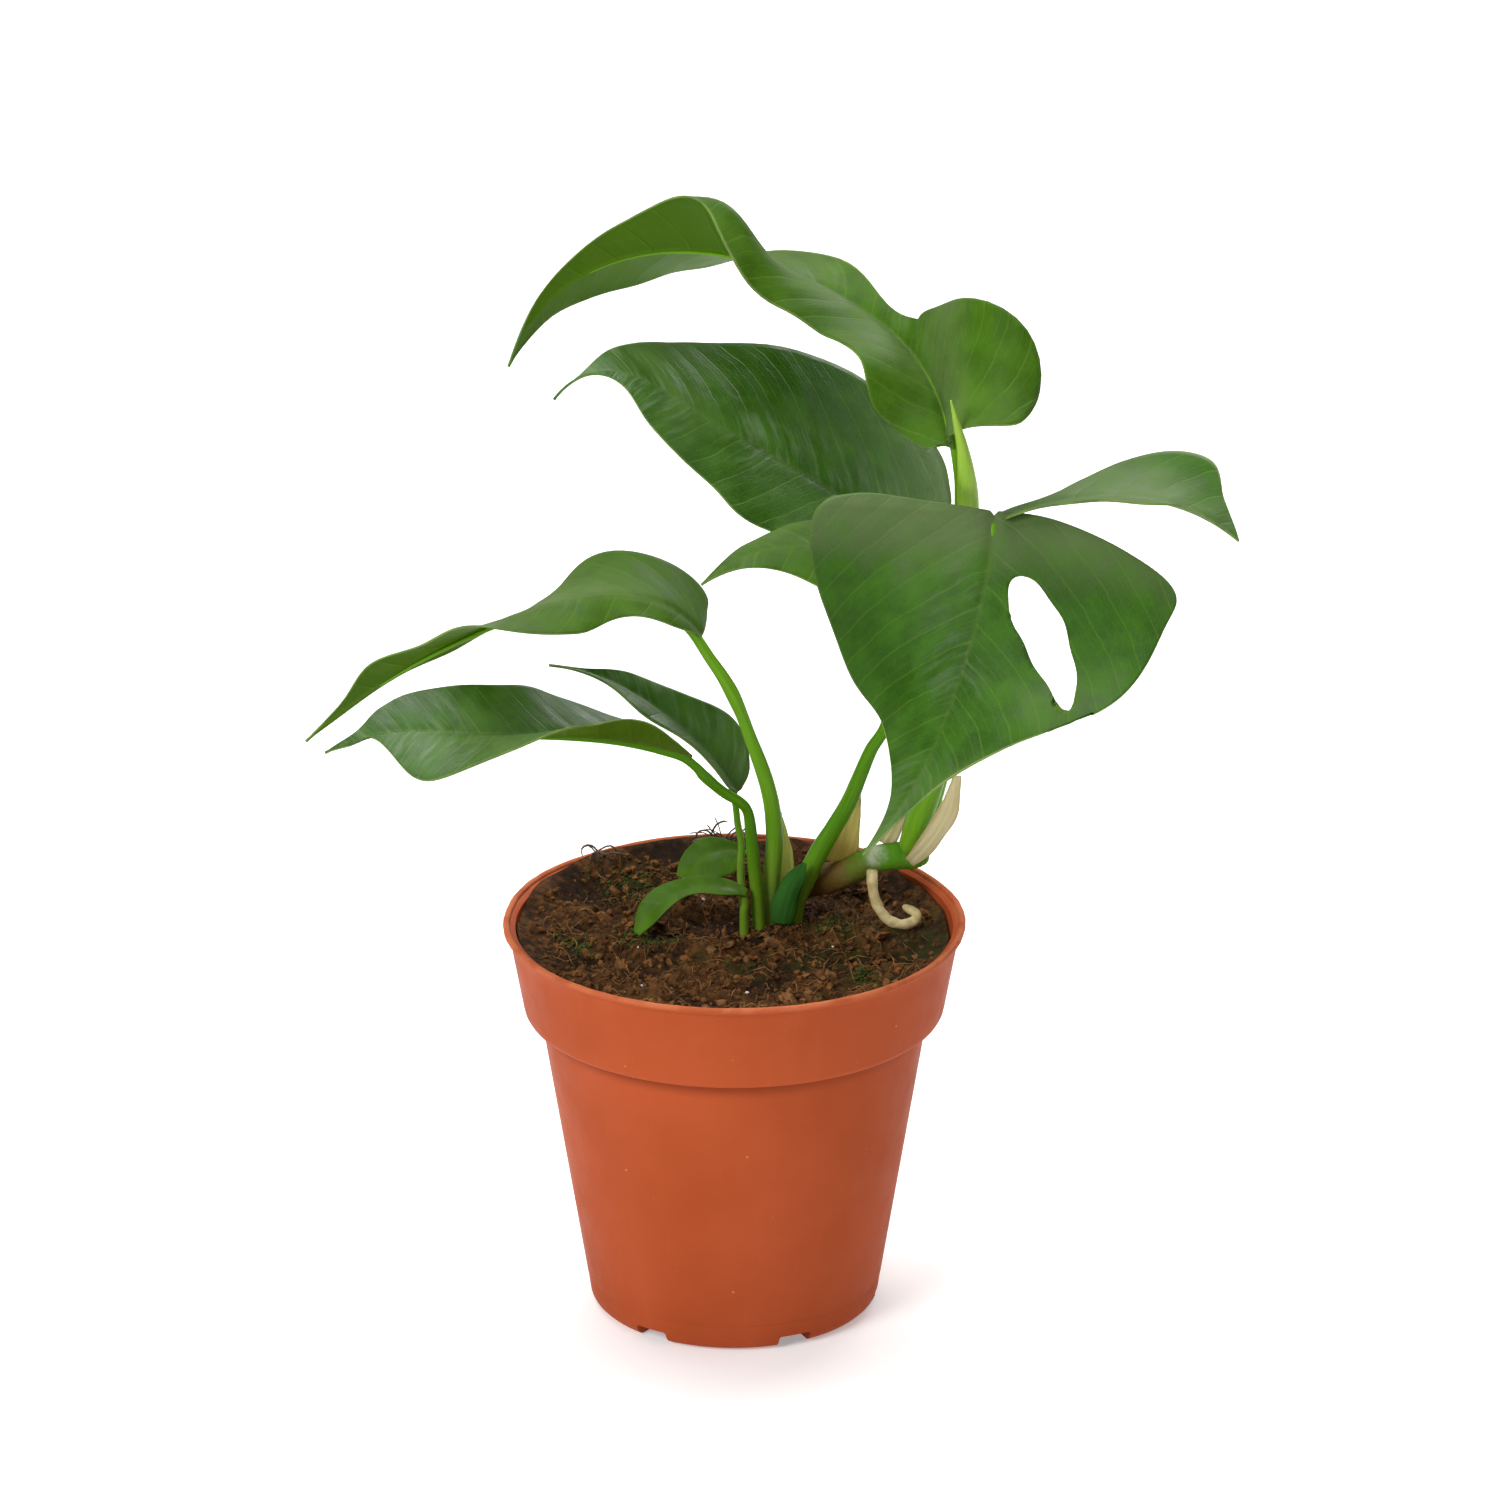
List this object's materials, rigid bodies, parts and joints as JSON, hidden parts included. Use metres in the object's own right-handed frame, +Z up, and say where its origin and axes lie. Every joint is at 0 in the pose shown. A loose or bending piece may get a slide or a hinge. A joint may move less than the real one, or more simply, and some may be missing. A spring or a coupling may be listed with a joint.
{
  "type": "potted monstera plant",
  "caption": "Young climbing plant with broad split leaves on slender stalks, growing in peaty soil in a tapered plastic nursery pot with a deep collar.",
  "frame": {"origin": "centre of the pot's flat underside, where it stands on the ground", "axes": "+Z up along the pot's axis, +X towards the side that the main stem leans to, -Y the side that the big split leaf faces"},
  "size_m": [0.2095, 0.1403, 0.2445],
  "materials": {
    "leaf_green": "satin",
    "stalk_green": "satin",
    "stem_green": "satin",
    "dry_sheath": "matte",
    "root_cream": "matte",
    "peat_soil": "matte",
    "terracotta_plastic": "satin"
  },
  "bodies": {
    "root": {"pot": "terracotta_plastic", "soil": "peat_soil", "top_leaf": "leaf_green", "left_leaf": "leaf_green", "front_leaf": "leaf_green", "behind_leaf": "leaf_green", "upper_left_leaf": "leaf_green", "lower_left_leaf": "leaf_green", "small_back_leaf": "leaf_green", "low_front_leaf": "leaf_green", "low_back_leaf": "leaf_green", "new_leaf": "stalk_green", "top_leaf_stalk": "stalk_green", "left_leaf_stalk": "stalk_green", "front_leaf_stalk": "stalk_green", "behind_leaf_stalk": "stalk_green", "upper_left_leaf_stalk": "stalk_green", "lower_left_leaf_stalk": "stalk_green", "small_back_leaf_stalk": "stalk_green", "low_front_leaf_stalk": "stalk_green", "low_back_leaf_stalk": "stalk_green", "main_stem": "stem_green", "aerial_root": "root_cream", "left_sheath": "dry_sheath", "foot_sheath": "dry_sheath", "middle_sheath": "dry_sheath", "inner_sheath": "dry_sheath", "right_sheath": "dry_sheath"}
  },
  "joints": []
}
